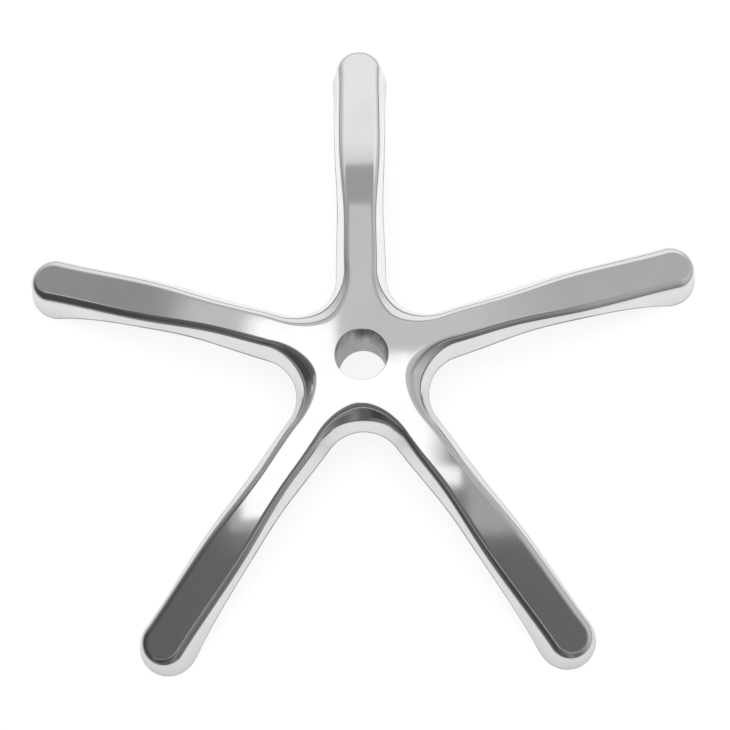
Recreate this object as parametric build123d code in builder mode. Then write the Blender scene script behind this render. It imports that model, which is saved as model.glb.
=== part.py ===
from build123d import *
from math import acos, cos, degrees, hypot, radians, sin, tan
import os

# Five-armed chair base, one polished aluminium casting
# Millimetres, +Z up, origin at the centre of the bore's mouth on top of the hub
# The first arm points along +Y

# Overall form
arm_count = 5
first_arm_angle = 90.0
reach = 350.0              # hub axis to the end of an arm, at the foot
total_height = 92.0        # bore mouth to the floor
foot_radius = 28.0         # round end of an arm, measured at the floor

# Long side view, revolved about the hub axis
hub_slope = 2.0            # fall of the top surface where it leaves the bore, degrees
arm_slope = 14.0           # fall of the top surface along the outer half of an arm, degrees
crown_arch_radius = 1000.0  # arch that joins the two slopes
hub_depth = 31.0           # bore mouth to the lower rim around the hub
rim_arch_start = 150.0     # radius from the hub axis where the lower rim begins to fall
rim_arch_radius = 260.0    # arch of the lower rim between hub and foot
foot_blend = 14.0          # rounds the corner between that arch and the flat foot

# Plan of the lower rim
waist_at = 150.0           # radius of the narrowest place of an arm
waist_half = 23.6          # half width of the arm there
flare_power = 1.3          # how late the arm widens from the waist to the foot
root_half = 25.5           # half width where an arm leaves the webs
web_reach = 69.0           # hub axis to the rim, half way between two arms

# Lean of the side walls away from vertical, degrees
lean_root = 18.5           # where an arm leaves the webs
lean_arm = 20.0            # at the waist
lean_foot = 6.0            # at the end of an arm
lean_web = 33.0            # in the web between two arms
lean_settled_at = 300.0    # radius where the wall reaches the lean of the foot
side_stations = (waist_at, 200.0, 250.0)  # radii that the side walls are drawn through

# Edges and walls
crest_round = 8.0          # between the top surface and the side walls
rim_edge = 1.0             # bevel on the outer edge of the lower rim
wall = 4.5                 # side walls
roof = 5.5                 # metal under the top surface

# Hub bore, a taper for the gas lift column
bore_radius = 25.0         # at the mouth
bore_taper = 1.4375        # half angle, degrees
bore_mouth_chamfer = 1.2
tube_length = 67.0         # bore mouth to the lower end of the hub tube
tube_wall = 6.5            # metal around the bore at the lower end
tube_draft = 1.5           # degrees, the tube is thicker at its root
tube_chamfer = 1.0

# Castor sockets, blind holes for plain stems
socket_setback = 25.0      # from the end of an arm to the middle of its socket
socket_radius = 5.5
socket_depth = 24.0
boss_wall = 3.5

# Ribs of the underside
rib = 4.0                  # thickness
rib_recess = 5.0           # lower edge of the ribs above the lower rim
cross_rib_radii = (120.0, 185.0, 250.0)

# Worked out from the sizes above
arm_angles = [first_arm_angle + k * 360.0 / arm_count for k in range(arm_count)]
half_step = 180.0 / arm_count
foot_centre = reach - foot_radius
socket_circle_radius = reach - socket_setback
over = 5.0                 # how far construction shapes run past what they cut
steep = 0.6                # side walls are the faces whose normal rises less than this
on_line = 0.05             # how near an edge lies to a line that it follows


def rim_height(r):
    """Height of the lower rim at a distance r from the hub axis."""
    run = max(0.0, r - rim_arch_start)
    fall = rim_arch_radius - (max(0.0, rim_arch_radius**2 - run**2)) ** 0.5
    return max(-total_height, -hub_depth - fall)


def crown_height(r):
    """Height of the top surface at a distance r from the hub axis."""
    start, end = radians(hub_slope), radians(arm_slope)
    arch_end = bore_radius + crown_arch_radius * (sin(end) - sin(start))
    if r > arch_end:
        drop = crown_arch_radius * (cos(start) - cos(end)) + (r - arch_end) * tan(end)
    else:
        here = sin(start) + (r - bore_radius) / crown_arch_radius
        drop = crown_arch_radius * (cos(start) - (1.0 - here**2) ** 0.5)
    return -drop


def wall_edges(faces, height):
    """Edges of the side walls that lie at a height given as a function of radius."""
    walls = faces.filter_by(lambda face: abs(face.normal_at().Z) < steep)
    found = ShapeList()
    for edge in walls.edges():
        middle = edge @ 0.5
        if abs(middle.Z - height(hypot(middle.X, middle.Y))) < on_line:
            found.append(edge)
    return found


def half_width(r, z):
    """Half width of an arm at a height z and a distance r along it, from the waist outwards."""
    out = (r - waist_at) / (foot_centre - waist_at)
    at_rim = waist_half + (foot_radius - waist_half) * out**flare_power
    turn = min(1.0, (r - waist_at) / (lean_settled_at - waist_at))
    lean = lean_arm + (lean_foot - lean_arm) * turn**2 * (3.0 - 2.0 * turn)
    return at_rim - (z - rim_height(r)) * tan(radians(lean))


def star_outline(z, inset=0.0):
    """Plan of the side walls at a height z, moved inwards by inset."""
    root = root_half - (z + hub_depth) * tan(radians(lean_root)) - inset
    foot_half = half_width(foot_centre, z) - inset
    web = web_reach - (z + hub_depth) * tan(radians(lean_web)) - inset
    web_radius = (web * sin(radians(half_step)) - root) / (1.0 - sin(radians(half_step)))
    root_at = (web + web_radius) * cos(radians(half_step))
    side = [(root_at, root)]
    side += [(r, half_width(r, z) - inset) for r in side_stations]
    side += [(foot_centre, foot_half)]
    with BuildSketch(Plane.XY.offset(z)) as outline:
        with BuildLine():
            for angle in arm_angles:
                left = [Vector(s, w).rotate(Axis.Z, angle) for s, w in side]
                right = [Vector(s, -w).rotate(Axis.Z, angle) for s, w in side]
                next_root = right[0].rotate(Axis.Z, 2.0 * half_step)
                web_point = Vector(web, 0).rotate(Axis.Z, angle + half_step)
                tip = Vector(foot_centre + foot_half, 0).rotate(Axis.Z, angle)
                along = Vector(1, 0).rotate(Axis.Z, angle)
                Spline(left, tangents=(along, along))
                ThreePointArc(left[-1], tip, right[-1])
                Spline(right, tangents=(along, along))
                ThreePointArc(left[0], web_point, next_root)
        make_face()
    return outline.sketch


def long_section(drop, lift):
    """Side view from the hub axis outwards, between the crown lowered by drop and the rim raised by lift."""
    start, end = radians(hub_slope), radians(arm_slope)
    far = reach + over
    arch_angle = degrees(acos(1.0 - (total_height - hub_depth) / rim_arch_radius))
    with BuildSketch(Plane.left) as section:
        with BuildLine():
            bore_edge = (bore_radius, -drop)
            leaving = (cos(start), -sin(start))
            crown = JernArc(bore_edge, leaving, crown_arch_radius, hub_slope - arm_slope)
            slope = Line(crown @ 1, (far, crown_height(far) - drop))
            rim = JernArc((rim_arch_start, lift - hub_depth), (1, 0), rim_arch_radius, -arch_angle)
            Polyline(slope @ 1, (far, lift - total_height), rim @ 1)
            Polyline(rim @ 0, (0, lift - hub_depth), (0, -drop), bore_edge)
        make_face()
        foot_corner = section.vertices().sort_by_distance(rim @ 1)[0]
        fillet(foot_corner, radius=foot_blend)
    return section.sketch


floor_side = -total_height - over

# Tube around the bore, under the hub
tube_end_radius = bore_radius - tube_length * tan(radians(bore_taper)) + tube_wall
with BuildPart() as hub_tube:
    with BuildSketch(Plane.XY.offset(-tube_length)):
        Circle(tube_end_radius)
    extrude(amount=tube_length - roof / 2.0, taper=-tube_draft)
    chamfer(hub_tube.edges().group_by(Axis.Z)[0], length=tube_chamfer)

# Bosses that hold the castor sockets
with BuildPart() as bosses:
    with BuildSketch(Plane.XY.offset(-total_height)):
        with PolarLocations(socket_circle_radius, arm_count, start_angle=first_arm_angle):
            Circle(socket_radius + boss_wall)
    extrude(amount=total_height)

# Ribs: one along each arm, one into each web, and short ones across the arms
with BuildPart() as ribs:
    with BuildSketch(Plane.XY.offset(floor_side)):
        with PolarLocations(reach / 2.0, arm_count, start_angle=first_arm_angle):
            Rectangle(reach, rib)
        with PolarLocations(web_reach / 2.0, arm_count, start_angle=first_arm_angle + half_step):
            Rectangle(web_reach, rib)
        for radius in cross_rib_radii:
            with PolarLocations(radius, arm_count, start_angle=first_arm_angle):
                Rectangle(rib, 2.0 * foot_radius)
    extrude(amount=-floor_side)
    revolve(long_section(0.0, rib_recess), axis=Axis.Z, mode=Mode.INTERSECT)

# Hollow of the underside, with everything that stands in it left out
with BuildPart() as pockets:
    loft([star_outline(floor_side, wall), star_outline(over, wall)], ruled=True)
    revolve(long_section(roof, -over), axis=Axis.Z, mode=Mode.INTERSECT)
    add(ribs.part, mode=Mode.SUBTRACT)
    add(bosses.part, mode=Mode.SUBTRACT)
    add(hub_tube.part, mode=Mode.SUBTRACT)

# The casting
with BuildPart() as star_base:
    loft([star_outline(floor_side), star_outline(over)], ruled=True)
    revolve(long_section(0.0, 0.0), axis=Axis.Z, mode=Mode.INTERSECT)
    fillet(wall_edges(star_base.faces(), crown_height), radius=crest_round)
    chamfer(wall_edges(star_base.faces(), rim_height), length=rim_edge)
    add(pockets.part, mode=Mode.SUBTRACT)
    add(hub_tube.part)
    # Tapered bore with its chamfered mouth
    with BuildSketch(Plane.XY):
        Circle(bore_radius)
    extrude(amount=-tube_length, taper=bore_taper, mode=Mode.SUBTRACT)
    mouth = star_base.edges().filter_by(GeomType.CIRCLE).group_by(Axis.Z)[-1]
    chamfer(mouth, length=bore_mouth_chamfer)
    # Castor sockets
    with BuildSketch(Plane.XY.offset(-total_height)):
        with PolarLocations(socket_circle_radius, arm_count, start_angle=first_arm_angle):
            Circle(socket_radius)
    extrude(amount=socket_depth, mode=Mode.SUBTRACT)

star_base.part.label = "star_base"
os.makedirs("parts", exist_ok=True)
export_step(star_base.part, "parts/star_base.step")
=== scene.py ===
"""Looks of a five-armed chair base: one polished casting, standing on a pale studio floor."""

import logging
import math
from dataclasses import dataclass, field
from enum import IntEnum
from typing import Iterable, Sequence, Union

import bmesh
import bpy
import numpy as np
from mathutils import Matrix, Vector


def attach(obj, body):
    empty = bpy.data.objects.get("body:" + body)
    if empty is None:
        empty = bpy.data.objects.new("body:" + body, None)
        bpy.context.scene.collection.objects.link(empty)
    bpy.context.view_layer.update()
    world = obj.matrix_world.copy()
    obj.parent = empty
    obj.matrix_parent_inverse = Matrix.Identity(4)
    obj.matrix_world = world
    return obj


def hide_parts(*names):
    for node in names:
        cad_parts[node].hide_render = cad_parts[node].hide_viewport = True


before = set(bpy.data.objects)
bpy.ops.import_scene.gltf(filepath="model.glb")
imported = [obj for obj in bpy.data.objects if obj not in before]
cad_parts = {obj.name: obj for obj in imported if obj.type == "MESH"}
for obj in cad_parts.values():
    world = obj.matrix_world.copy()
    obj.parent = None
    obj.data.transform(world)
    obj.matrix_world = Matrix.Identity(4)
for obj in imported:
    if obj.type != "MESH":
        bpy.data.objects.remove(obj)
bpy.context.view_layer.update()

log = logging.getLogger("chair_base")

MILLIMETRE = 0.001
PHOTO_WIDTH = 730
SENSOR_WIDTH = 36.0
BODY = "root"
CASTING_NODE = "star_base"

Feed = Union[bpy.types.NodeSocket, float, Sequence[float]]


class Surface(IntEnum):
    """Kinds of surface on the casting, in the order of its material slots."""

    POLISHED = 0
    MACHINED = 1
    AS_CAST = 2


# Form of the casting


@dataclass(frozen=True)
class SideView:
    """A line of the long side view: height over distance from the hub axis, in millimetres."""

    r: np.ndarray
    z: np.ndarray
    tilt: np.ndarray

    @classmethod
    def through(cls, r: np.ndarray, z: np.ndarray) -> "SideView":
        """Makes the line from its points.

        Args:
            r: distances from the hub axis, rising.
            z: heights at those distances.

        Returns:
            The line, with the lean of its upward normal away from the axis.
        """
        return cls(r, z, np.arctan(-np.gradient(z, r)))

    def height(self, r: np.ndarray) -> np.ndarray:
        """Height at a distance from the hub axis."""
        return np.interp(r, self.r, self.z)

    def normal(self, r: np.ndarray) -> tuple[np.ndarray, np.ndarray]:
        """Outward and upward parts of the upward normal."""
        tilt = np.interp(r, self.r, self.tilt)
        return np.sin(tilt), np.cos(tilt)

    def raised(self, distance: float) -> "SideView":
        """The parallel line at a distance above this one, or below it if negative."""
        return SideView(
            self.r + distance * np.sin(self.tilt), self.z + distance * np.cos(self.tilt), self.tilt
        )

    def dropped(self, depth: float) -> "SideView":
        """The same line moved straight down."""
        return SideView(self.r, self.z - depth, self.tilt)


@dataclass(frozen=True)
class StarSizes:
    """Sizes that the plan and the side view share, in millimetres and degrees."""

    arm_count: int = 5
    first_arm_angle: float = 90.0
    reach: float = 350.0
    total_height: float = 92.0
    foot_radius: float = 28.0
    hub_slope: float = 2.0
    arm_slope: float = 14.0
    crown_arch_radius: float = 1000.0
    hub_depth: float = 31.0
    rim_arch_start: float = 150.0
    rim_arch_radius: float = 260.0
    foot_blend: float = 14.0
    waist_at: float = 150.0
    waist_half: float = 24.0
    flare_power: float = 2.0
    root_half: float = 24.9
    web_reach: float = 69.0
    lean_root: float = 20.0
    lean_arm: float = 25.0
    lean_foot: float = 8.5
    lean_web: float = 15.0
    lean_held_to: float = 195.0
    lean_settled_at: float = 310.0
    side_stations: tuple[float, ...] = (150.0, 200.0, 250.0)
    bore_radius: float = 25.0
    sample: float = 0.25

    @property
    def foot_centre(self) -> float:
        """Distance from the hub axis to the centre of an arm's round end."""
        return self.reach - self.foot_radius

    @property
    def half_step(self) -> float:
        """Angle from the middle of an arm to the middle of a web, in radians."""
        return math.pi / self.arm_count

    @property
    def distances(self) -> np.ndarray:
        """Distances from the hub axis at which the side view is drawn."""
        return np.arange(0.0, self.reach + self.foot_radius, self.sample)

    def crown(self) -> SideView:
        """Top surface: an arch that runs on as a straight slope."""
        r = self.distances
        start, end = math.radians(self.hub_slope), math.radians(self.arm_slope)
        arch_end = self.bore_radius + self.crown_arch_radius * (math.sin(end) - math.sin(start))
        rise = math.sin(start) + (np.minimum(r, arch_end) - self.bore_radius) / self.crown_arch_radius
        drop = self.crown_arch_radius * (math.cos(start) - np.sqrt(1.0 - rise**2))
        drop += np.maximum(r - arch_end, 0.0) * math.tan(end)
        return SideView.through(r, -drop)

    def rim(self) -> SideView:
        """Lower rim: level at the hub, an arch, a blend and the flat foot."""
        r = self.distances
        arch_middle = -self.hub_depth - self.rim_arch_radius
        blend_middle = -self.total_height + self.foot_blend
        between = self.rim_arch_radius + self.foot_blend
        blend_at = self.rim_arch_start + math.sqrt(between**2 - (blend_middle - arch_middle) ** 2)
        arch_end = self.rim_arch_start + (blend_at - self.rim_arch_start) * self.rim_arch_radius / between
        run = np.clip(r - self.rim_arch_start, 0.0, arch_end - self.rim_arch_start)
        arch = arch_middle + np.sqrt(self.rim_arch_radius**2 - run**2)
        back = np.clip(blend_at - r, 0.0, blend_at - arch_end)
        blend = blend_middle - np.sqrt(self.foot_blend**2 - back**2)
        return SideView.through(r, np.where(r < arch_end, arch, blend))

    def half_width(self, r: Union[float, np.ndarray], z: float) -> np.ndarray:
        """Half width of an arm.

        Args:
            r: distance along the arm.
            z: height.

        Returns:
            The half width there.
        """
        r = np.asarray(r, dtype=float)
        out = np.maximum(0.0, (r - self.waist_at) / (self.foot_centre - self.waist_at))
        at_rim = self.waist_half + (self.foot_radius - self.waist_half) * out**self.flare_power
        turn = np.clip((r - self.lean_held_to) / (self.lean_settled_at - self.lean_held_to), 0.0, 1.0)
        lean = self.lean_arm + (self.lean_foot - self.lean_arm) * turn**2 * (3.0 - 2.0 * turn)
        run = np.maximum(0.0, r - self.rim_arch_start)
        fall = self.rim_arch_radius - np.sqrt(np.maximum(0.0, self.rim_arch_radius**2 - run**2))
        rim = np.maximum(-self.total_height, -self.hub_depth - fall)
        return at_rim - (z - rim) * np.tan(np.radians(lean))


def clamped_curve(x: np.ndarray, y: np.ndarray, at: np.ndarray) -> np.ndarray:
    """Smooth cubic through points, level at both ends.

    Args:
        x: places of the points, rising.
        y: values there.
        at: places where the curve is wanted.

    Returns:
        Values of the curve.
    """
    step = np.diff(x)
    count = len(x)
    system = np.zeros((count, count))
    pull = np.zeros(count)
    system[0, :2] = system[-1, :-3:-1] = (2.0, 1.0)
    pull[0] = 6.0 * (y[1] - y[0]) / step[0] ** 2
    pull[-1] = -6.0 * (y[-1] - y[-2]) / step[-1] ** 2
    for k in range(1, count - 1):
        system[k, k - 1 : k + 2] = (step[k - 1], 2.0 * (step[k - 1] + step[k]), step[k])
        pull[k] = 6.0 * ((y[k + 1] - y[k]) / step[k] - (y[k] - y[k - 1]) / step[k - 1])
    bend = np.linalg.solve(system, pull)
    k = np.clip(np.searchsorted(x, at) - 1, 0, count - 2)
    a, b, h = x[k + 1] - at, at - x[k], step[k]
    curve = (bend[k] * a**3 + bend[k + 1] * b**3) / (6.0 * h)
    return curve + (y[k] / h - bend[k] * h / 6.0) * a + (y[k + 1] / h - bend[k + 1] * h / 6.0) * b


@dataclass
class SideWalls:
    """Straight-ruled walls around half an arm and half a web, from the tip to the web's middle.

    Columns are numbered by a place: 0 to 1 round the tip, 1 to 2 along the side, 2 to 3 round the web.
    """

    sizes: StarSizes
    inset: float
    places: np.ndarray
    low: float = -97.0
    high: float = 5.0
    _low_line: np.ndarray = field(init=False)
    _high_line: np.ndarray = field(init=False)
    _along: tuple[np.ndarray, np.ndarray] = field(init=False)

    def __post_init__(self) -> None:
        """Works out both outlines that the walls run between."""
        nudge = 1e-4
        self._low_line = self.outline(self.places, self.low)
        self._high_line = self.outline(self.places, self.high)
        self._along = tuple(
            self.outline(self.places + nudge, z) - self.outline(self.places - nudge, z)
            for z in (self.low, self.high)
        )

    def outline(self, places: np.ndarray, z: float) -> np.ndarray:
        """Plan of the walls at one height, with the arm along +X.

        Args:
            places: columns, as numbered above.
            z: height.

        Returns:
            One x, y row for each place.
        """
        form = self.sizes
        half = form.half_step
        rise = z + form.hub_depth
        root_half = form.root_half - rise * math.tan(math.radians(form.lean_root)) - self.inset
        foot_half = float(form.half_width(form.foot_centre, z)) - self.inset
        web = form.web_reach - rise * math.tan(math.radians(form.lean_web)) - self.inset
        web_radius = (web * math.sin(half) - root_half) / (1.0 - math.sin(half))
        root_at = (web + web_radius) * math.cos(half)

        turn = places * math.pi / 2.0
        tip = np.stack([form.foot_centre + foot_half * np.cos(turn), foot_half * np.sin(turn)], 1)

        stations = np.array([root_at, *form.side_stations, form.foot_centre])
        widths = np.array([root_half, *(form.half_width(form.side_stations, z) - self.inset), foot_half])
        along = form.foot_centre + (root_at - form.foot_centre) * np.clip(places - 1.0, 0.0, 1.0)
        side = np.stack([along, clamped_curve(stations, widths, along)], 1)

        swing = -math.pi / 2.0 - (math.pi / 2.0 - half) * (places - 2.0)
        middle = (web + web_radius) * np.array([math.cos(half), math.sin(half)])
        round_web = middle + web_radius * np.stack([np.cos(swing), np.sin(swing)], 1)
        return np.where((places < 1.0)[:, None], tip, np.where((places < 2.0)[:, None], side, round_web))

    def point(self, z: np.ndarray) -> np.ndarray:
        """Points of the walls, one for each column, at the heights given."""
        share = ((z - self.low) / (self.high - self.low))[:, None]
        return np.hstack([self._low_line * (1.0 - share) + self._high_line * share, z[:, None]])

    def normal(self, z: np.ndarray) -> np.ndarray:
        """Outward normals of the walls, one for each column."""
        share = ((z - self.low) / (self.high - self.low))[:, None]
        along = self._along[0] * (1.0 - share) + self._along[1] * share
        rising = (self._high_line - self._low_line) / (self.high - self.low)
        flat, one = np.zeros((len(z), 1)), np.ones((len(z), 1))
        normal = np.cross(np.hstack([along, flat]), np.hstack([rising, one]))
        return normal / np.linalg.norm(normal, axis=1)[:, None]


def rounded_edge(
    walls: SideWalls, line: SideView, radii: np.ndarray, steps: int, wall_side: float, line_side: float
) -> np.ndarray:
    """Rolls a ball along the edge between the walls and a surface turned about the hub axis.

    Args:
        walls: the walls.
        line: side view of the turned surface.
        radii: radius of the ball at each column.
        steps: facets across the rounding.
        wall_side: -1 where the ball is inside the walls' outline, 1 where it is outside.
        line_side: -1 where the ball is below the line, 1 where it is above.

    Returns:
        Rows of points from the walls to the turned surface.
    """
    small, large = float(radii.min()), float(radii.max())
    tracks = [line.raised(line_side * radius) for radius in (small, large)]
    share = (radii - small) / max(large - small, 1e-9)
    radius = radii[:, None]
    low = np.full(len(walls.places), walls.low)
    high = np.full(len(walls.places), walls.high)
    for _ in range(40):
        z = 0.5 * (low + high)
        ball = walls.point(z) + wall_side * radius * walls.normal(z)
        reach = np.hypot(ball[:, 0], ball[:, 1])
        above = ball[:, 2] > tracks[0].height(reach) * (1.0 - share) + tracks[1].height(reach) * share
        low, high = np.where(above, low, z), np.where(above, z, high)
    start = -wall_side * walls.normal(z)
    outward, upward = tracks[1].normal(reach)
    end = -line_side * np.stack([outward * ball[:, 0] / reach, outward * ball[:, 1] / reach, upward], 1)
    angle = np.arccos(np.clip((start * end).sum(1), -1.0, 1.0))[:, None]
    shares = np.linspace(0.0, 1.0, steps + 1)
    return np.array([
        ball + radius * (np.sin((1.0 - t) * angle) * start + np.sin(t * angle) * end) / np.sin(angle)
        for t in shares
    ])


def spread(first: np.ndarray, last: np.ndarray, shares: Iterable[float]) -> np.ndarray:
    """Rows between two rows of points.

    Args:
        first: the row at share 0.
        last: the row at share 1.
        shares: where the rows lie between them.

    Returns:
        One row for each share.
    """
    return np.array([first * (1.0 - t) + last * t for t in shares])


@dataclass
class StarSkin:
    """Outside and inside of the casting as one closed net of quads."""

    sizes: StarSizes = field(default_factory=StarSizes)
    crest_places: tuple[float, ...] = (0.0, 1.0, 1.55, 2.0, 2.35, 2.7, 3.0)
    crest_rounds: tuple[float, ...] = (10.0, 10.0, 8.8, 9.0, 13.0, 19.5, 23.5)
    rim_round: float = 1.0
    # height of a band of darker as-cast finish along the foot of the outer wall: the rim rounding is left as
    # cast, and this band above it is a painted shade line
    cast_shade_band: float = 1.5
    inner_rim_round: float = 0.8
    roof_round_less: float = 5.0
    wall: float = 4.5
    roof: float = 5.5
    bore_taper: float = 1.4375
    mouth_chamfer: float = 0.35
    mouth_ring: float = 0.75
    tube_length: float = 67.0
    tube_wall: float = 6.5
    tube_draft: float = 1.5
    tube_chamfer: float = 1.0
    tube_root_round: float = 3.0
    tip_columns: int = 16
    side_columns: int = 64
    web_columns: int = 26
    bore_columns: int = 16
    crest_facets: int = 18
    rim_facets: int = 5
    inner_rim_facets: int = 4
    ceiling_facets: int = 7
    top_rows: int = 13
    vault_rows: int = 9
    wall_facets: int = 10
    inner_wall_facets: int = 7
    tip_landing: float = 13.0
    straight_from: float = 292.0
    fan_from: float = 112.0

    def places(self) -> np.ndarray:
        """Column places from the tip to the middle of the web."""
        return np.concatenate([
            np.linspace(0.0, 1.0, self.tip_columns, endpoint=False),
            np.linspace(1.0, 2.0, self.side_columns, endpoint=False),
            np.linspace(2.0, 3.0, self.web_columns + 1),
        ])

    def inner_ends(self, contact: np.ndarray, radius: float) -> np.ndarray:
        """Where the columns of a level surface end: on the arm's middle line, then round the hub.

        Args:
            contact: plan of the surface's outer edge, one point for each column.
            radius: radius of the circle round the hub axis that it ends on.

        Returns:
            Plan of the inner edge, one point for each column.
        """
        ends = contact.copy()
        ends[:, 1] = 0.0
        run = np.concatenate([[0.0], np.cumsum(np.linalg.norm(np.diff(contact, axis=0), axis=1))])
        outer = contact[:, 0] > self.straight_from
        last = int(np.argmin(np.where(outer, contact[:, 0], np.inf)))
        first_end = contact[0, 0] - self.tip_landing
        ends[: last + 1, 0] = np.interp(run[: last + 1], [0.0, run[last]], [first_end, contact[last, 0]])
        count = len(contact)
        corner = count - 1 - self.bore_columns
        start = int(np.argmin(np.abs(contact[:, 0] - self.fan_from)))
        ends[start : corner + 1, 0] = np.linspace(contact[start, 0], radius, corner + 1 - start)
        angles = np.linspace(0.0, self.sizes.half_step, self.bore_columns + 1)
        ends[corner:] = radius * np.stack([np.cos(angles), np.sin(angles)], 1)
        return ends

    def level_rows(self, contact: np.ndarray, line: SideView, radius: float, rows: int) -> np.ndarray:
        """Rows of a top or roof surface, from the edge rounding inwards.

        Args:
            contact: points where the surface starts.
            line: side view of the surface.
            radius: radius of the circle that it ends on.
            rows: number of rows.

        Returns:
            The rows, without the first one.
        """
        plan = contact[:, :2]
        shares = np.linspace(0.0, 1.0, rows + 1)[1:] ** 1.25
        flat = spread(plan, self.inner_ends(plan, radius), shares)
        height = line.height(np.hypot(flat[..., 0], flat[..., 1]))
        return np.concatenate([flat, height[..., None]], axis=2)

    def tube_profile(self) -> tuple[np.ndarray, list[Surface]]:
        """Section of the bore and of the tube around it, from the top surface round to the roof.

        Returns:
            Rows of radius and height, and the surface of each stretch between them.
        """
        form = self.sizes
        crown, roof = form.crown(), form.crown().dropped(self.roof)
        taper, draft = math.tan(math.radians(self.bore_taper)), math.tan(math.radians(self.tube_draft))
        mouth = form.bore_radius - self.mouth_chamfer * taper
        bore_end = form.bore_radius - self.tube_length * taper
        outside = bore_end + self.tube_wall
        edge = form.bore_radius + self.mouth_ring
        points = [(edge, float(crown.height(edge))), (mouth, -self.mouth_chamfer)]
        kinds = [Surface.POLISHED]
        for depth in np.linspace(self.mouth_chamfer, self.tube_length - self.tube_chamfer, 13)[1:]:
            points.append((form.bore_radius - depth * taper, -depth))
            kinds.append(Surface.MACHINED)
        points += [
            (bore_end + self.tube_chamfer, -self.tube_length),
            (outside - self.tube_chamfer, -self.tube_length),
            (outside + self.tube_chamfer * draft, -self.tube_length + self.tube_chamfer),
        ]
        kinds += [Surface.MACHINED, Surface.MACHINED, Surface.AS_CAST]
        root = self.tube_root_round
        turn = math.atan(draft)
        root_r = outside + (self.tube_length - self.roof) * draft + root * math.cos(turn)
        root_z = float(roof.height(root_r)) - root
        for depth in np.linspace(self.tube_length - self.tube_chamfer, -root_z, 8)[1:-1]:
            points.append((outside + (self.tube_length - depth) * draft, -depth))
            kinds.append(Surface.AS_CAST)
        for angle in np.linspace(math.pi - turn, math.pi / 2.0, 6):
            points.append((root_r + root * math.cos(angle), root_z + root * math.sin(angle)))
            kinds.append(Surface.AS_CAST)
        return np.array(points), kinds

    def net(self) -> tuple[list[np.ndarray], list[list[Surface]]]:
        """Both nets of half an arm and half a web.

        Returns:
            The nets as rows of columns of points, and the surface of each strip of quads.
        """
        form = self.sizes
        crown, rim = form.crown(), form.rim()
        places = self.places()
        outer = SideWalls(form, 0.0, places)
        inner = SideWalls(form, self.wall, places)
        roof = crown.dropped(self.roof)
        profile, kinds = self.tube_profile()

        even = np.ones(len(places))
        crest_radii = clamped_curve(np.array(self.crest_places), np.array(self.crest_rounds), places)
        ceiling_radii = crest_radii - self.roof_round_less
        crest = rounded_edge(outer, crown, crest_radii, self.crest_facets, -1.0, -1.0)
        lower = rounded_edge(outer, rim, self.rim_round * even, self.rim_facets, -1.0, 1.0)
        inside = rounded_edge(inner, rim, self.inner_rim_round * even, self.inner_rim_facets, 1.0, 1.0)
        ceiling = rounded_edge(inner, roof, ceiling_radii, self.ceiling_facets, -1.0, -1.0)
        top = self.level_rows(crest[-1], crown, float(profile[0, 0]), self.top_rows)
        vault = self.level_rows(ceiling[-1], roof, float(profile[-1, 0]), self.vault_rows)

        wall_rows = spread(lower[0], crest[0], np.linspace(0.0, 1.0, self.wall_facets)[1:-1])
        # the lowest wall row ends a band above the rim; the strip below it takes the as-cast finish as a
        # painted shade line along the foot of the wall
        upwards = crest[0] - lower[0]
        upwards *= self.cast_shade_band / np.linalg.norm(upwards, axis=1)[:, None]
        wall_rows[0] = lower[0] + upwards
        inner_rows = spread(inside[0], ceiling[0], np.linspace(0.0, 1.0, self.inner_wall_facets)[1:-1])
        face = spread(inside[-1], lower[-1], (0.5,))
        face[..., 2] = rim.height(np.hypot(face[..., 0], face[..., 1]))
        rows = np.concatenate([
            top[::-1], crest[::-1], wall_rows[::-1], lower, face, inside[::-1], inner_rows, ceiling, vault
        ])
        polished = len(top) + len(crest) + len(wall_rows) - 1
        surfaces = [Surface.POLISHED] * polished + [Surface.AS_CAST] * (len(rows) - 1 - polished)

        angles = np.linspace(0.0, form.half_step, self.bore_columns + 1)
        tube = np.array([
            np.stack([r * np.cos(angles), r * np.sin(angles), np.full(len(angles), z)], 1) for r, z in profile
        ])
        return [rows, tube], [surfaces, kinds]

    def build(self, name: str) -> bpy.types.Object:
        """Mirrors and turns the nets into the whole star and welds them.

        Args:
            name: name of the new object.

        Returns:
            The closed skin, in metres.
        """
        nets, surfaces = self.net()
        points: list[np.ndarray] = []
        faces: list[np.ndarray] = []
        kinds: list[np.ndarray] = []
        start = 0
        for net, strip_kinds in zip(nets, surfaces):
            rows, columns = net.shape[:2]
            index = np.arange(rows * columns).reshape(rows, columns)
            corners = [index[:-1, :-1], index[1:, :-1], index[1:, 1:], index[:-1, 1:]]
            quads = np.stack(corners, -1).reshape(-1, 4)
            quad_kinds = np.repeat(np.array(strip_kinds, dtype=int), columns - 1)
            for side in (1.0, -1.0):
                for arm in range(self.sizes.arm_count):
                    angle = math.radians(self.sizes.first_arm_angle) + 2.0 * self.sizes.half_step * arm
                    x, y = net[..., 0].ravel(), side * net[..., 1].ravel()
                    turned = [
                        x * math.cos(angle) - y * math.sin(angle),
                        x * math.sin(angle) + y * math.cos(angle),
                        net[..., 2].ravel(),
                    ]
                    points.append(np.stack(turned, 1))
                    faces.append((quads if side > 0 else quads[:, ::-1]) + start)
                    kinds.append(quad_kinds)
                    start += rows * columns
        mesh = bpy.data.meshes.new(name)
        mesh.from_pydata((np.concatenate(points) * MILLIMETRE).tolist(), [], np.concatenate(faces).tolist())
        mesh.polygons.foreach_set("material_index", np.concatenate(kinds).astype(np.int32))
        weld(mesh)
        return new_object(name, mesh)


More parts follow.
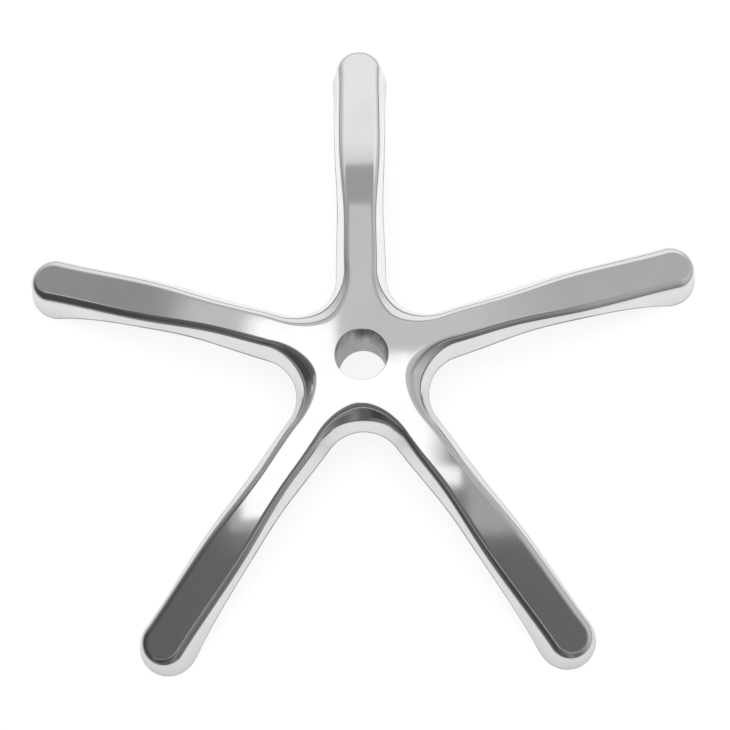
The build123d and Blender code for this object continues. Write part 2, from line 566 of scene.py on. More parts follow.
def weld(mesh: bpy.types.Mesh) -> None:
    """Joins points that coincide and turns every face outwards."""
    work = bmesh.new()
    work.from_mesh(mesh)
    bmesh.ops.remove_doubles(work, verts=work.verts, dist=0.002 * MILLIMETRE)
    bmesh.ops.recalc_face_normals(work, faces=work.faces)
    open_edges = sum(1 for edge in work.edges if len(edge.link_faces) != 2)
    if open_edges:
        log.warning("%s: %d edges don't join two faces", mesh.name, open_edges)
    work.to_mesh(mesh)
    work.free()


def new_object(name: str, mesh: bpy.types.Mesh) -> bpy.types.Object:
    """Puts a mesh into the scene as an object."""
    made = bpy.data.objects.new(name, mesh)
    bpy.context.scene.collection.objects.link(made)
    return made


# What stands in the hollow of the underside


@dataclass
class Underside:
    """Ribs, castor bosses and sockets of the hollow underside, in millimetres."""

    sizes: StarSizes = field(default_factory=StarSizes)
    thickness: float = 4.0
    recess: float = 5.0
    rib_bevel: float = 0.8
    rib_draft: float = 0.5
    ring_spacing: float = 5.0
    ring_closing: float = 1.4
    least_rings: int = 10
    crest_share: float = 0.97
    roof: float = 5.5
    wall: float = 4.5
    cross_radii: tuple[float, ...] = (120.0, 185.0, 250.0)
    rib_from: float = 28.5
    tip_crest: float = 10.0
    web_crest: float = 23.5
    socket_circle: float = 325.0
    socket_radius: float = 5.5
    socket_depth: float = 24.0
    socket_chamfer: float = 0.8
    boss_wall: float = 3.5
    boss_recess: float = 0.6
    boss_bevel: float = 0.6
    socket_cone: float = 1.2
    socket_flat_share: float = 0.45
    cutter_overrun: float = 1.0
    facets: int = 48

    def arm_angles(self) -> list[float]:
        """Directions of the arms, in radians."""
        form = self.sizes
        first = math.radians(form.first_arm_angle)
        return [first + 2.0 * form.half_step * k for k in range(form.arm_count)]

    def blade(
        self, work: bmesh.types.BMesh, angle: float, end: float, lean: float, level: float, crest: float
    ) -> None:
        """Adds a rib that runs out from the hub into a wall, and ends inside the metal of its crest.

        Args:
            work: mesh that it is added to.
            angle: direction of the rib.
            end: distance from the hub axis to the outside of the wall that it ends in.
            lean: lean of that wall, in degrees.
            level: height at which that distance holds.
            crest: radius of the rounding between that wall and the top surface.
        """
        form = self.sizes
        rim, crown = form.rim(), form.crown()
        half, edge, draft = 0.5 * self.thickness, self.rib_bevel, self.rib_draft
        slant = math.tan(math.radians(lean))
        centre_r, centre_z = end - crest, -crest
        for _ in range(20):
            centre_r = end - (centre_z - level) * slant - crest / math.cos(math.radians(lean))
            centre_z = float(crown.height(centre_r)) - crest
        middle = crest - 0.5 * self.roof
        high_end = centre_r + self.crest_share * middle
        low_end = end - 0.5 * self.wall - (float(rim.height(end)) + self.recess - level) * slant
        count = max(self.least_rings, int((end - self.rib_from) / self.ring_spacing))
        rings = []
        for share in 1.0 - np.linspace(1.0, 0.0, count) ** self.ring_closing:
            r_low = self.rib_from + (low_end - self.rib_from) * share
            r_high = self.rib_from + (high_end - self.rib_from) * share
            low = float(rim.height(r_low)) + self.recess
            round_off = middle - math.sqrt(middle**2 - max(0.0, r_high - centre_r) ** 2)
            high = float(crown.height(min(r_high, centre_r))) - 0.5 * self.roof - round_off
            spot = [
                (r_low, -half + draft, low), (r_low, half - draft, low), (r_low, half, low + edge),
                (r_high, half + draft, high), (r_high, -half - draft, high), (r_low, -half, low + edge),
            ]
            rings.append([work.verts.new(turned(r, w, z, angle) * MILLIMETRE) for r, w, z in spot])
        close_tube(work, rings)

    def crossing(self, work: bmesh.types.BMesh, angle: float, radius: float) -> None:
        """Adds a short rib across an arm.

        Args:
            work: mesh that it is added to.
            angle: direction of the arm.
            radius: distance of the rib from the hub axis.
        """
        form = self.sizes
        low = float(form.rim().height(radius)) + self.recess
        high = float(form.crown().height(radius)) - 0.5 * self.roof
        half, edge, draft = 0.5 * self.thickness, self.rib_bevel, self.rib_draft
        rings = []
        for side in (-1.0, 1.0):
            reach_low = float(form.half_width(radius, low)) - 0.5 * self.wall
            reach_high = float(form.half_width(radius, high)) - 0.5 * self.wall
            spot = [
                (-half + draft, low, reach_low), (half - draft, low, reach_low),
                (half, low + edge, reach_low), (half + draft, high, reach_high),
                (-half - draft, high, reach_high), (-half, low + edge, reach_low),
            ]
            rings.append([
                work.verts.new(turned(radius + s, side * w, z, angle) * MILLIMETRE) for s, z, w in spot
            ])
        close_tube(work, rings)

    def long_ribs(self) -> bpy.types.Object:
        """One rib along each arm and one into each web."""
        work = bmesh.new()
        form = self.sizes
        for angle in self.arm_angles():
            self.blade(work, angle, form.reach, form.lean_foot, -form.total_height, self.tip_crest)
            self.blade(
                work, angle + form.half_step, form.web_reach, form.lean_web, -form.hub_depth, self.web_crest
            )
        return finished(work, "long_ribs")

    def cross_ribs(self) -> bpy.types.Object:
        """Short ribs across the arms."""
        work = bmesh.new()
        for angle in self.arm_angles():
            for radius in self.cross_radii:
                self.crossing(work, angle, radius)
        return finished(work, "cross_ribs")

    def turned_stack(self, name: str, stack: Sequence[tuple[float, float]]) -> bpy.types.Object:
        """Turned bodies on the castor circle.

        Args:
            name: name of the object.
            stack: radius and height of each ring, from the bottom up.

        Returns:
            The bodies, one for each arm.
        """
        work = bmesh.new()
        for angle in self.arm_angles():
            rings = []
            for radius, z in stack:
                ring = []
                for k in range(self.facets):
                    spin = 2.0 * math.pi * k / self.facets
                    along, across = self.socket_circle + radius * math.cos(spin), radius * math.sin(spin)
                    ring.append(work.verts.new(turned(along, across, z, angle) * MILLIMETRE))
                rings.append(ring)
            close_tube(work, rings)
        return finished(work, name)

    def bosses(self) -> bpy.types.Object:
        """Bosses that hold the castor sockets."""
        form = self.sizes
        low = -form.total_height + self.boss_recess
        high = float(form.crown().height(self.socket_circle)) - 0.5 * self.roof
        foot = self.socket_radius + self.boss_wall
        bevel = self.boss_bevel
        return self.turned_stack("bosses", [(foot - bevel, low), (foot, low + bevel), (foot, high)])

    def sockets(self) -> bpy.types.Object:
        """Cutters for the blind holes that take the castor stems."""
        low = -self.sizes.total_height - self.cutter_overrun
        mouth = -self.sizes.total_height + self.boss_recess
        top = -self.sizes.total_height + self.socket_depth
        wide = self.socket_radius + self.socket_chamfer
        return self.turned_stack("sockets", [
            (wide, low), (wide, mouth), (self.socket_radius, mouth + self.socket_chamfer),
            (self.socket_radius, top - self.socket_cone), (self.socket_flat_share * self.socket_radius, top),
        ])


def turned(along: float, across: float, z: float, angle: float) -> Vector:
    """A point given along and across a direction in plan."""
    return Vector((
        along * math.cos(angle) - across * math.sin(angle),
        along * math.sin(angle) + across * math.cos(angle),
        z,
    ))


def close_tube(work: bmesh.types.BMesh, rings: Sequence[Sequence[bmesh.types.BMVert]]) -> None:
    """Joins rings of points into a closed body."""
    for one, two in zip(rings, rings[1:]):
        for k in range(len(one)):
            following = (k + 1) % len(one)
            work.faces.new((one[k], one[following], two[following], two[k]))
    work.faces.new(tuple(reversed(rings[0])))
    work.faces.new(tuple(rings[-1]))


def finished(work: bmesh.types.BMesh, name: str) -> bpy.types.Object:
    """Turns a mesh in the making into an object of cast surface."""
    bmesh.ops.recalc_face_normals(work, faces=work.faces)
    mesh = bpy.data.meshes.new(name)
    work.to_mesh(mesh)
    work.free()
    mesh.polygons.foreach_set("material_index", [int(Surface.AS_CAST)] * len(mesh.polygons))
    return new_object(name, mesh)


# Shader nodes


@dataclass
class Bench:
    """Adds nodes to one node tree and joins them."""

    tree: bpy.types.NodeTree

    def node(self, kind: str, feeds: dict[Union[str, int], Feed], **settings: object) -> bpy.types.Node:
        """Adds a node.

        Args:
            kind: Blender's name of the node type.
            feeds: a socket or a value for each input.
            settings: properties of the node.

        Returns:
            The node.
        """
        made = self.tree.nodes.new(kind)
        for key, value in settings.items():
            setattr(made, key, value)
        for key, feed in feeds.items():
            if isinstance(feed, bpy.types.NodeSocket):
                self.tree.links.new(feed, made.inputs[key])
            else:
                made.inputs[key].default_value = feed
        return made

    def math(self, operation: str, *feeds: Feed) -> bpy.types.NodeSocket:
        """Output of a Math node."""
        return self.node("ShaderNodeMath", dict(enumerate(feeds)), operation=operation).outputs[0]

    def ease(
        self, value: Feed, start: Feed, end: Feed, low: Feed = 0.0, high: Feed = 1.0
    ) -> bpy.types.NodeSocket:
        """Smooth step from low to high as a value goes from start to end."""
        made = self.node(
            "ShaderNodeMapRange",
            {"Value": value, "From Min": start, "From Max": end, "To Min": low, "To Max": high},
            interpolation_type="SMOOTHSTEP",
        )
        return made.outputs["Result"]

    def noise(
        self, vector: Feed, scale: float, detail: float = 2.0, roughness: float = 0.5
    ) -> bpy.types.NodeSocket:
        """Value of a noise texture."""
        made = self.node(
            "ShaderNodeTexNoise",
            {"Vector": vector, "Scale": scale, "Detail": detail, "Roughness": roughness},
            normalize=True,
        )
        return made.outputs[0]

    def bump(self, height: Feed) -> bpy.types.NodeSocket:
        """Normal of a surface that is raised by a height in metres."""
        feeds: dict[Union[str, int], Feed] = {"Height": height, "Distance": 1.0, "Strength": 1.0}
        return self.node("ShaderNodeBump", feeds).outputs["Normal"]


def new_group(
    name: str, takes: Sequence[tuple[str, str]], gives: Sequence[tuple[str, str]]
) -> tuple[bpy.types.NodeTree, bpy.types.Node, bpy.types.Node]:
    """Makes an empty shader node group.

    Args:
        name: name of the group.
        takes: name and socket type of each input.
        gives: name and socket type of each output.

    Returns:
        The group, its input node and its output node.
    """
    group = bpy.data.node_groups.new(name, "ShaderNodeTree")
    for way, sockets in (("INPUT", takes), ("OUTPUT", gives)):
        for label, kind in sockets:
            group.interface.new_socket(name=label, in_out=way, socket_type=kind)
    return group, group.nodes.new("NodeGroupInput"), group.nodes.new("NodeGroupOutput")


def along_arm_group() -> bpy.types.NodeTree:
    """Group that gives each point its place along and across its own arm, in metres."""
    group, _, out = new_group("along_the_arm", [], [("Place", "NodeSocketVector")])
    bench = Bench(group)
    coordinates = bench.node("ShaderNodeTexCoord", {}).outputs["Object"]
    parts = bench.node("ShaderNodeSeparateXYZ", {0: coordinates}).outputs
    sizes = StarSizes()
    step = 2.0 * sizes.half_step
    angle = bench.math("ARCTAN2", parts["Y"], parts["X"])
    from_arm = bench.math("ADD", angle, sizes.half_step - math.radians(sizes.first_arm_angle) + 2.0 * step)
    local = bench.math("SUBTRACT", bench.math("FLOORED_MODULO", from_arm, step), sizes.half_step)
    radius = bench.node(
        "ShaderNodeVectorMath",
        {0: bench.node("ShaderNodeCombineXYZ", {0: parts["X"], 1: parts["Y"]}).outputs[0]},
        operation="LENGTH",
    ).outputs["Value"]
    arm = bench.math("FLOOR", bench.math("DIVIDE", from_arm, step))
    place = bench.node("ShaderNodeCombineXYZ", {
        0: bench.math("MULTIPLY", radius, bench.math("COSINE", local)),
        1: bench.math("ADD", bench.math("MULTIPLY", radius, bench.math("SINE", local)), arm),
        2: parts["Z"],
    })
    group.links.new(place.outputs[0], out.inputs["Place"])
    return group


FINE_STREAKS = (12.0, 900.0, 300.0)
BROAD_STREAKS = (7.0, 160.0, 60.0)
FINE_SHARE = 0.6
HAZE_SCALE = 22.0
WAVE_SCALE = 38.0


def polishing_group(along: bpy.types.NodeTree) -> bpy.types.NodeTree:
    """Group for the traces of buffing: streaks along the arms, haze and slow waves.

    Args:
        along: group that gives the place along and across an arm.

    Returns:
        The group, with streaks and haze from 0 to 1 and a height in metres.
    """
    group, given, out = new_group(
        "buffing",
        [("Streak Depth", "NodeSocketFloat"), ("Wave Depth", "NodeSocketFloat")],
        [("Streaks", "NodeSocketFloat"), ("Haze", "NodeSocketFloat"), ("Height", "NodeSocketFloat")],
    )
    bench = Bench(group)
    place = bench.node("ShaderNodeGroup", {}, node_tree=along).outputs["Place"]
    drawn_out = bench.node("ShaderNodeVectorMath", {0: place, 1: FINE_STREAKS}, operation="MULTIPLY")
    fine = bench.noise(drawn_out.outputs[0], 1.0, 3.0, 0.6)
    broad = bench.node("ShaderNodeVectorMath", {0: place, 1: BROAD_STREAKS}, operation="MULTIPLY")
    wide = bench.noise(broad.outputs[0], 1.0, 2.0)
    haze = bench.noise(place, HAZE_SCALE, 3.0, 0.55)
    waves = bench.noise(place, WAVE_SCALE, 1.0)
    streaks = bench.math(
        "ADD", bench.math("MULTIPLY", fine, FINE_SHARE), bench.math("MULTIPLY", wide, 1.0 - FINE_SHARE)
    )
    height = bench.math(
        "ADD",
        bench.math("MULTIPLY", streaks, given.outputs["Streak Depth"]),
        bench.math("MULTIPLY", waves, given.outputs["Wave Depth"]),
    )
    group.links.new(streaks, out.inputs["Streaks"])
    group.links.new(haze, out.inputs["Haze"])
    group.links.new(height, out.inputs["Height"])
    return group


# Finishes


@dataclass(frozen=True)
class BuffedAluminium:
    """Aluminium buffed to a mirror, with faint buffing streaks and a light haze."""

    buffing: bpy.types.NodeTree
    colour: tuple[float, float, float] = (0.86, 0.865, 0.875)
    haze_colour: tuple[float, float, float] = (0.82, 0.825, 0.835)
    gloss: float = 0.045
    haze_gloss: float = 0.09
    streak_gloss: float = 0.03
    haze_range: tuple[float, float] = (0.3, 0.75)
    streak_depth: float = 0.0000004
    wave_depth: float = 0.00002

    def material(self) -> bpy.types.Material:
        """Makes the material."""
        made, bench, shader = metal("buffed_aluminium")
        buffed = bench.node(
            "ShaderNodeGroup",
            {"Streak Depth": self.streak_depth, "Wave Depth": self.wave_depth},
            node_tree=self.buffing,
        ).outputs
        hazy = bench.ease(buffed["Haze"], *self.haze_range)
        colour = bench.node(
            "ShaderNodeMix",
            {"Factor": hazy, 6: (*self.colour, 1.0), 7: (*self.haze_colour, 1.0)},
            data_type="RGBA",
        ).outputs[2]
        rough = bench.math(
            "ADD",
            bench.ease(buffed["Haze"], *self.haze_range, self.gloss, self.haze_gloss),
            bench.math("MULTIPLY", buffed["Streaks"], self.streak_gloss),
        )
        made.node_tree.links.new(colour, shader.inputs["Base Color"])
        made.node_tree.links.new(rough, shader.inputs["Roughness"])
        made.node_tree.links.new(bench.bump(buffed["Height"]), shader.inputs["Normal"])
        return made


@dataclass(frozen=True)
class BoredAluminium:
    """The bore as the boring tool leaves it: fine turned lines round a satin wall, with painted shade that
    darkens the wall towards its top and towards +X.
    """

    colour: tuple[float, float, float] = (0.62, 0.62, 0.62)
    # painted shade: the near-black colour that the bore's wall is darkened towards, standing in for the shade
    # inside the bore
    painted_shade: tuple[float, float, float] = (0.055, 0.055, 0.057)
    gloss: float = 0.26
    dull: float = 0.42
    feed: float = 0.00035
    line_depth: float = 0.000004
    # where the painted shade lies: it grows towards the top of the bore and leans towards +X, broken up by the
    # patches
    shade_start_height: float = -0.012
    shade_reach: float = 0.032
    shade_lean: float = 0.8
    shade_cloud: float = 2.6
    stain_and_shade_range: tuple[float, float] = (-1.1, 0.7)
    patch_stretch: tuple[float, float, float] = (70.0, 70.0, 22.0)
    patch_range: tuple[float, float] = (0.25, 0.75)

    def material(self) -> bpy.types.Material:
        """Makes the material."""
        made, bench, shader = metal("bored_aluminium")
        place = bench.node("ShaderNodeTexCoord", {}).outputs["Object"]
        across, _, height = bench.node("ShaderNodeSeparateXYZ", {0: place}).outputs
        lines = bench.math("SINE", bench.math("MULTIPLY", height, 2.0 * math.pi / self.feed))
        stretched = bench.node("ShaderNodeVectorMath", {0: place, 1: self.patch_stretch}, operation="MULTIPLY")
        patches = bench.noise(stretched.outputs[0], 1.0, 4.0, 0.6)
        # painted shade mask: darker towards the top of the bore and towards +X, with cloudy edges from the
        # patches
        rise = bench.math("DIVIDE", bench.math("SUBTRACT", height, self.shade_start_height), self.shade_reach)
        side = bench.math("DIVIDE", across, self.shade_reach)
        place_share = bench.math("ADD", rise, bench.math("MULTIPLY", side, self.shade_lean))
        cloudy = bench.math("MULTIPLY", bench.math("SUBTRACT", patches, 0.5), self.shade_cloud)
        stained_and_shaded = bench.ease(bench.math("ADD", place_share, cloudy), *self.stain_and_shade_range)
        colour = bench.node(
            "ShaderNodeMix",
            {"Factor": stained_and_shaded, 6: (*self.colour, 1.0), 7: (*self.painted_shade, 1.0)},
            data_type="RGBA",
        ).outputs[2]
        made.node_tree.links.new(colour, shader.inputs["Base Color"])
        rough = bench.ease(patches, *self.patch_range, self.gloss, self.dull)
        made.node_tree.links.new(rough, shader.inputs["Roughness"])
        cut = bench.math("MULTIPLY", bench.math("ADD", lines, patches), self.line_depth)
        made.node_tree.links.new(bench.bump(cut), shader.inputs["Normal"])
        return made


@dataclass(frozen=True)
class CastAluminium:
    """Aluminium as it leaves the mould: grey, matt and slightly grainy."""

    colour: tuple[float, float, float] = (0.56, 0.565, 0.58)
    stained_and_shaded: tuple[float, float, float] = (0.44, 0.445, 0.46)
    gloss: float = 0.46
    dull: float = 0.6
    cloud: float = 26.0
    stain_and_shade_range: tuple[float, float] = (0.35, 0.7)
    dull_range: tuple[float, float] = (0.3, 0.7)
    grain: float = 900.0
    grain_depth: float = 0.00009

    def material(self) -> bpy.types.Material:
        """Makes the material."""
        made, bench, shader = metal("cast_aluminium")
        place = bench.node("ShaderNodeTexCoord", {}).outputs["Object"]
        cloud = bench.noise(place, self.cloud, 4.0, 0.6)
        grain = bench.noise(place, self.grain, 3.0, 0.6)
        colour = bench.node(
            "ShaderNodeMix",
            {"Factor": bench.ease(cloud, *self.stain_and_shade_range), 6: (*self.colour, 1.0), 7: (*self.stained_and_shaded, 1.0)},
            data_type="RGBA",
        ).outputs[2]
        made.node_tree.links.new(colour, shader.inputs["Base Color"])
        rough = bench.ease(cloud, *self.dull_range, self.gloss, self.dull)
        made.node_tree.links.new(rough, shader.inputs["Roughness"])
        height = bench.math("MULTIPLY", grain, self.grain_depth)
        made.node_tree.links.new(bench.bump(height), shader.inputs["Normal"])
        return made


def metal(name: str) -> tuple[bpy.types.Material, Bench, bpy.types.Node]:
    """Starts a metal material.

    Args:
        name: name of the material.

    Returns:
        The material, a bench on its nodes and its surface shader.
    """
    made = bpy.data.materials.new(name)
    made.use_nodes = True
    made.node_tree.nodes.clear()
    bench = Bench(made.node_tree)
    shader = bench.node("ShaderNodeBsdfPrincipled", {"Metallic": 1.0})
    bench.node("ShaderNodeOutputMaterial", {"Surface": shader.outputs["BSDF"]})
    return made, bench, shader


# The casting as a finished piece


@dataclass
class Casting:
    """The whole casting: skin, underside and the finishes of its surfaces."""

    skin: StarSkin = field(default_factory=StarSkin)
    underside: Underside = field(default_factory=Underside)
    sharp_from: float = 23.5

    def shape(self) -> bpy.types.Object:
        """Builds the skin and joins the ribs, bosses and sockets to it."""
        body = self.skin.build("polished_star")
        steps = (
            (self.underside.long_ribs(), "UNION"),
            (self.underside.cross_ribs(), "UNION"),
            (self.underside.bosses(), "UNION"),
            (self.underside.sockets(), "DIFFERENCE"),
        )
        for tool, operation in steps:
            cut(body, tool, operation)
        return body

    def dress(self, body: bpy.types.Object) -> None:
        """Gives each surface its finish and shades the metal smooth up to its edges."""
        buffing = polishing_group(along_arm_group())
        finishes = {
            Surface.POLISHED: BuffedAluminium(buffing),
            Surface.MACHINED: BoredAluminium(),
            Surface.AS_CAST: CastAluminium(),
        }
        for surface in Surface:
            body.data.materials[surface] = finishes[surface].material()
        body.data.polygons.foreach_set("use_smooth", [True] * len(body.data.polygons))
        body.data.set_sharp_from_angle(angle=math.radians(self.sharp_from))

    def build(self) -> bpy.types.Object:
        """Makes the finished piece and ties it to the frame."""
        body = self.shape()
        self.dress(body)
        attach(body, BODY)
        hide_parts(CASTING_NODE)
        return body


def cut(body: bpy.types.Object, tool: bpy.types.Object, operation: str) -> None:
    """Joins a tool to a body, or cuts it out, and removes the tool.

    Args:
        body: object that is changed.
        tool: closed object.
        operation: UNION or DIFFERENCE.
    """
    for piece in (body, tool):
        while len(piece.data.materials) < len(Surface):
            piece.data.materials.append(None)
    modifier = body.modifiers.new("join", "BOOLEAN")
    modifier.operation = operation
    modifier.object = tool
    modifier.solver = "MANIFOLD"
    evaluated = body.evaluated_get(bpy.context.evaluated_depsgraph_get())
    result = bpy.data.meshes.new_from_object(evaluated)
    body.modifiers.clear()
    body.data = result
    bpy.data.objects.remove(tool)


# Studio


class Placing(IntEnum):
    """How a panel's place is measured."""

    OVERHEAD = 0
    AROUND = 1


@dataclass(frozen=True)
class Panel:
    """A far light, wall or dark flag, which the polish shows by its direction alone.

    Overhead, sizes are runs to the right and to the back at a height of 1. Around, they are the
    compass angle from the right and the angle down from straight up, in degrees.
    """

    placing: Placing
    middle: tuple[float, float]
    half: tuple[float, float]
    softness: tuple[float, float]
    level: float


@dataclass
class Studio:
    """Room with soft panels, and the pale floor that the base stands on."""

    floor_height: float = -0.0921
    floor_half: float = 6.0
    lowest_rise: float = 0.02
    out_of_sight: float = 100.0
    no_turn: float = 10000.0
    full_turn: float = 360.0
    room_level: float = 0.14
    panels: tuple[Panel, ...] = (
        # bright wall behind, grey wall on the right, dark room in front and on the left
        Panel(Placing.AROUND, (114.0, 91.0), (120.0, 46.0), (28.0, 10.0), 0.92),
        Panel(Placing.AROUND, (-16.0, 79.0), (64.0, 33.0), (11.0, 21.0), 0.55),
        Panel(Placing.AROUND, (301.0, 70.0), (24.0, 26.0), (32.0, 14.0), 0.105),
        Panel(Placing.AROUND, (194.0, 63.0), (58.0, 28.0), (40.0, 13.0), 0.065),
        Panel(Placing.AROUND, (241.0, 55.0), (11.0, 20.0), (9.0, 2.0), 0.059),
        # ceiling, darker on the left, and the dark gap between it and the wall behind
        Panel(Placing.OVERHEAD, (0.37, 0.54), (1.05, 0.31), (0.16, 0.015), 0.47),
        Panel(Placing.OVERHEAD, (0.06, 0.55), (0.34, 0.325), (0.16, 0.015), 0.60),
        Panel(Placing.OVERHEAD, (-0.935, 0.61), (0.336, 0.217), (0.16, 0.11), 0.30),
        Panel(Placing.OVERHEAD, (0.02, 0.989), (1.58, 0.107), (0.30, 0.012), 0.36),
        # soft lamp overhead with its grey surround, which ends in steps in front
        Panel(Placing.OVERHEAD, (0.20, 0.12), (0.50, 0.20), (0.25, 0.14), 0.56),
        Panel(Placing.OVERHEAD, (-0.04, -0.06), (0.34, 0.13), (0.06, 0.05), 0.21),
        Panel(Placing.OVERHEAD, (0.330, -0.06), (0.085, 0.105), (0.010, 0.008), 0.40),
        Panel(Placing.OVERHEAD, (-0.32, -0.05), (0.06, 0.095), (0.010, 0.010), 0.40),
        Panel(Placing.OVERHEAD, (-0.1725, 0.0425), (0.1725, 0.1575), (0.010, 0.010), 1.2),
        Panel(Placing.OVERHEAD, (0.025, 0.1325), (0.150, 0.1775), (0.048, 0.010), 1.2),
        Panel(Placing.OVERHEAD, (0.135, -0.020), (0.095, 0.025), (0.008, 0.008), 1.2),
        Panel(Placing.OVERHEAD, (-0.42, 0.46), (0.14, 0.10), (0.07, 0.04), 0.58),
        Panel(Placing.OVERHEAD, (-0.250, 0.279), (0.090, 0.179), (0.050, 0.030), 1.2),
        Panel(Placing.OVERHEAD, (-0.190, 0.279), (0.090, 0.179), (0.010, 0.030), 1.2),
        # small window on the left and a narrow strip of light in front
        Panel(Placing.OVERHEAD, (-0.86, 0.40), (0.06, 0.03), (0.02, 0.01), 1.2),
        Panel(Placing.OVERHEAD, (0.0, -0.55), (0.75, 0.035), (0.10, 0.015), 0.55),
    )
    floor_colour: tuple[float, float, float] = (0.90, 0.90, 0.90)
    floor_glow: float = 0.86
    mirrored_glow: float = 0.45
    # painted light on the floor as the polish sees it: a pool round the base that fades to a dim far floor,
    # lighter at the back than in front
    painted_pool_reach: tuple[float, float] = (0.20, 1.05)
    painted_far_level: float = 0.10
    painted_ramp: tuple[float, float] = (-0.10, 0.25)
    painted_front_level: float = 0.74
    painted_back_level: float = 0.88
    lamp_power: float = 110.0
    lamp_height: float = 2.6
    lamp_size: float = 3.0

    def panel_group(self) -> bpy.types.NodeTree:
        """Group that lays one panel over the light of a direction."""
        number = "NodeSocketFloat"
        names = ("Below", "Across", "Along", "Turn", "Middle Across", "Middle Along", "Half Across",
                 "Half Along", "Soft Across", "Soft Along", "Level")
        group, given, out = new_group("panel", [(name, number) for name in names], [("Light", number)])
        bench = Bench(group)
        inputs = given.outputs
        half_turn = bench.math("MULTIPLY", inputs["Turn"], 0.5)
        across = bench.math("SUBTRACT", inputs["Across"], inputs["Middle Across"])
        across = bench.math("FLOORED_MODULO", bench.math("ADD", across, half_turn), inputs["Turn"])
        across = bench.math("SUBTRACT", across, half_turn)
        along = bench.math("SUBTRACT", inputs["Along"], inputs["Middle Along"])
        masks = []
        for away, half, soft in ((across, "Half Across", "Soft Across"), (along, "Half Along", "Soft Along")):
            start = bench.math("SUBTRACT", inputs[half], inputs[soft])
            end = bench.math("ADD", inputs[half], inputs[soft])
            masks.append(bench.ease(bench.math("ABSOLUTE", away), start, end, 1.0, 0.0))
        light = bench.node(
            "ShaderNodeMix",
            {"Factor": bench.math("MULTIPLY", *masks), 2: inputs["Below"], 3: inputs["Level"]},
            data_type="FLOAT",
        ).outputs[0]
        group.links.new(light, out.inputs["Light"])
        return group

    def light_room(self) -> None:
        """Makes the world: panels for light and reflections, plain white behind the object."""
        world = bpy.data.worlds.new("studio")
        world.use_nodes = True
        world.node_tree.nodes.clear()
        bench = Bench(world.node_tree)
        direction = bench.node("ShaderNodeTexCoord", {}).outputs["Generated"]
        x, y, z = bench.node("ShaderNodeSeparateXYZ", {0: direction}).outputs
        level_or_below = bench.math("LESS_THAN", z, self.lowest_rise)
        aside = bench.math("MULTIPLY", level_or_below, self.out_of_sight)
        rise = bench.math("MAXIMUM", z, self.lowest_rise)
        to_degrees = math.degrees(1.0)
        compass = bench.math("MULTIPLY", bench.math("ARCTAN2", y, x), to_degrees)
        down = bench.math("MULTIPLY", bench.math("ARCCOSINE", z), to_degrees)
        places = {
            Placing.OVERHEAD: (
                bench.math("ADD", bench.math("DIVIDE", x, rise), aside),
                bench.math("DIVIDE", y, rise),
                self.no_turn,
            ),
            Placing.AROUND: (compass, down, self.full_turn),
        }
        group = self.panel_group()
        light: Feed = self.room_level
        for panel in self.panels:
            across, along, turn = places[panel.placing]
            light = bench.node("ShaderNodeGroup", {
                "Below": light, "Across": across, "Along": along, "Turn": turn,
                "Middle Across": panel.middle[0], "Middle Along": panel.middle[1],
                "Half Across": panel.half[0], "Half Along": panel.half[1],
                "Soft Across": panel.softness[0], "Soft Along": panel.softness[1],
                "Level": panel.level,
            }, node_tree=group).outputs["Light"]
        seen = bench.node("ShaderNodeLightPath", {}).outputs["Is Camera Ray"]
        strength = bench.node(
            "ShaderNodeMix", {"Factor": seen, 2: light, 3: 1.0}, data_type="FLOAT"
        ).outputs[0]
        background = bench.node(
            "ShaderNodeBackground", {"Color": (1.0, 1.0, 1.0, 1.0), "Strength": strength}
        )
        bench.node("ShaderNodeOutputWorld", {"Surface": background.outputs[0]})
        bpy.context.scene.world = world

    def hang_lamp(self) -> None:
        """Hangs a wide soft lamp overhead for plain surfaces; the polish shows the panels instead."""
        data = bpy.data.lights.new("soft_lamp", "AREA")
        data.size = self.lamp_size
        data.energy = self.lamp_power
        lamp = bpy.data.objects.new("soft_lamp", data)
        bpy.context.scene.collection.objects.link(lamp)
        lamp.location = (0.0, 0.0, self.lamp_height)
        lamp.visible_glossy = False
        lamp.visible_camera = False

    def lay_floor(self) -> bpy.types.Object:
        """Lays the pale floor under the feet, which keeps a soft shadow. As the polish sees it, its colour and
        glow carry a painted pool of light that fades away from the base and is lighter at the back than in
        front.
        """
        half = self.floor_half
        mesh = bpy.data.meshes.new("floor")
        corners = [(-half, -half, 0.0), (half, -half, 0.0), (half, half, 0.0), (-half, half, 0.0)]
        mesh.from_pydata(corners, [], [(0, 1, 2, 3)])
        floor = new_object("floor", mesh)
        floor.location.z = self.floor_height
        made = bpy.data.materials.new("pale_floor")
        made.use_nodes = True
        made.node_tree.nodes.clear()
        bench = Bench(made.node_tree)
        path = bench.node("ShaderNodeLightPath", {}).outputs
        place = bench.node("ShaderNodeTexCoord", {}).outputs["Object"]
        away = bench.node("ShaderNodeVectorMath", {0: place}, operation="LENGTH").outputs["Value"]
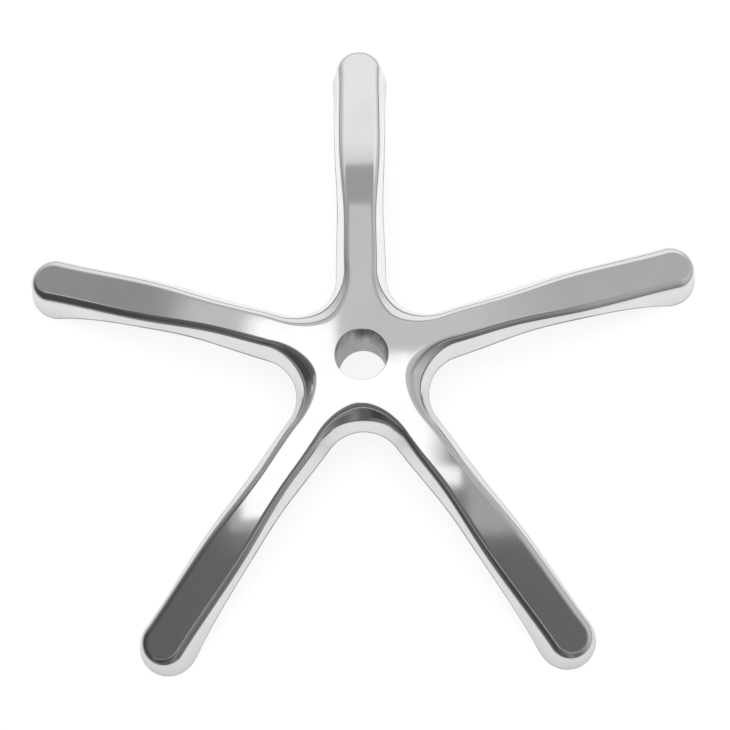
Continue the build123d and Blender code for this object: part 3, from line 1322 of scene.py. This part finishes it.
        # painted light: lighter at the back than in front, and a pool round the base that fades with distance;
        # glossy rays get it in the floor's colour and glow, camera rays see full brightness
        back = bench.node("ShaderNodeSeparateXYZ", {0: place}).outputs["Y"]
        side = bench.ease(back, *self.painted_ramp, self.painted_front_level, self.painted_back_level)
        painted_pool_light = bench.math("MULTIPLY", side, bench.ease(away, *self.painted_pool_reach, 1.0, self.painted_far_level))
        bright = bench.node(
            "ShaderNodeMix", {"Factor": path["Is Glossy Ray"], 2: 1.0, 3: painted_pool_light}, data_type="FLOAT"
        ).outputs[0]
        colour = bench.node(
            "ShaderNodeMix", {"Factor": bright, 6: (0.0, 0.0, 0.0, 1.0), 7: (*self.floor_colour, 1.0)},
            data_type="RGBA",
        ).outputs[2]
        paint = bench.node("ShaderNodeBsdfDiffuse", {"Color": colour}).outputs[0]
        white = bench.node(
            "ShaderNodeEmission", {"Color": (1.0, 1.0, 1.0, 1.0), "Strength": bright}
        ).outputs[0]
        share = bench.math(
            "ADD",
            bench.math("MULTIPLY", path["Is Camera Ray"], self.floor_glow),
            bench.math("MULTIPLY", path["Is Glossy Ray"], self.mirrored_glow),
        )
        mixed = bench.node("ShaderNodeMixShader", {0: share, 1: paint, 2: white}).outputs[0]
        bench.node("ShaderNodeOutputMaterial", {"Surface": mixed})
        mesh.materials.append(made)
        return floor

    def build(self) -> None:
        """Sets up the room, the lamp, the floor and plain colour."""
        self.light_room()
        self.hang_lamp()
        self.lay_floor()
        bpy.context.scene.view_settings.view_transform = "Standard"


@dataclass(frozen=True)
class PhotoCamera:
    """Camera that sees the base as the photograph does, fitted to the bore, the tips and the outline."""

    view_elevation: float = 73.23
    roll: float = 4.80
    heading: float = 3.82
    distance: float = 1.7166
    focal_pixels: float = 1815.8
    aim_right: float = -2.646
    aim_up: float = 11.28
    sight: float = 50.0

    def build(self) -> bpy.types.Object:
        """Makes the camera and looks through it."""
        tilt, roll = math.radians(self.view_elevation), math.radians(self.roll)
        ahead = Vector((0.0, math.cos(tilt), -math.sin(tilt)))
        right = Vector((1.0, 0.0, 0.0))
        up = Vector((0.0, math.sin(tilt), math.cos(tilt)))
        pixel = self.distance / self.focal_pixels
        place = -self.distance * ahead - self.aim_right * pixel * right - self.aim_up * pixel * up
        across = math.cos(roll) * right - math.sin(roll) * up
        upright = math.sin(roll) * right + math.cos(roll) * up
        columns = Matrix((across, upright, -ahead)).transposed()
        heading = Matrix.Rotation(math.radians(self.heading), 3, "Z")
        data = bpy.data.cameras.new("photo_camera")
        data.sensor_width = SENSOR_WIDTH
        data.lens = self.focal_pixels / PHOTO_WIDTH * SENSOR_WIDTH
        data.clip_end = self.sight
        camera = bpy.data.objects.new("photo_camera", data)
        bpy.context.scene.collection.objects.link(camera)
        camera.matrix_world = Matrix.Translation(heading @ place) @ (heading @ columns).to_4x4()
        bpy.context.scene.camera = camera
        return camera


def main() -> None:
    """Builds the camera, the casting and the studio."""
    logging.basicConfig(level=logging.INFO, format="%(name)s: %(message)s")
    PhotoCamera().build()
    casting = Casting().build()
    casting.data.calc_loop_triangles()
    log.info("%s: %d triangles", casting.name, len(casting.data.loop_triangles))
    Studio().build()


if __name__ == "__main__":
    main()
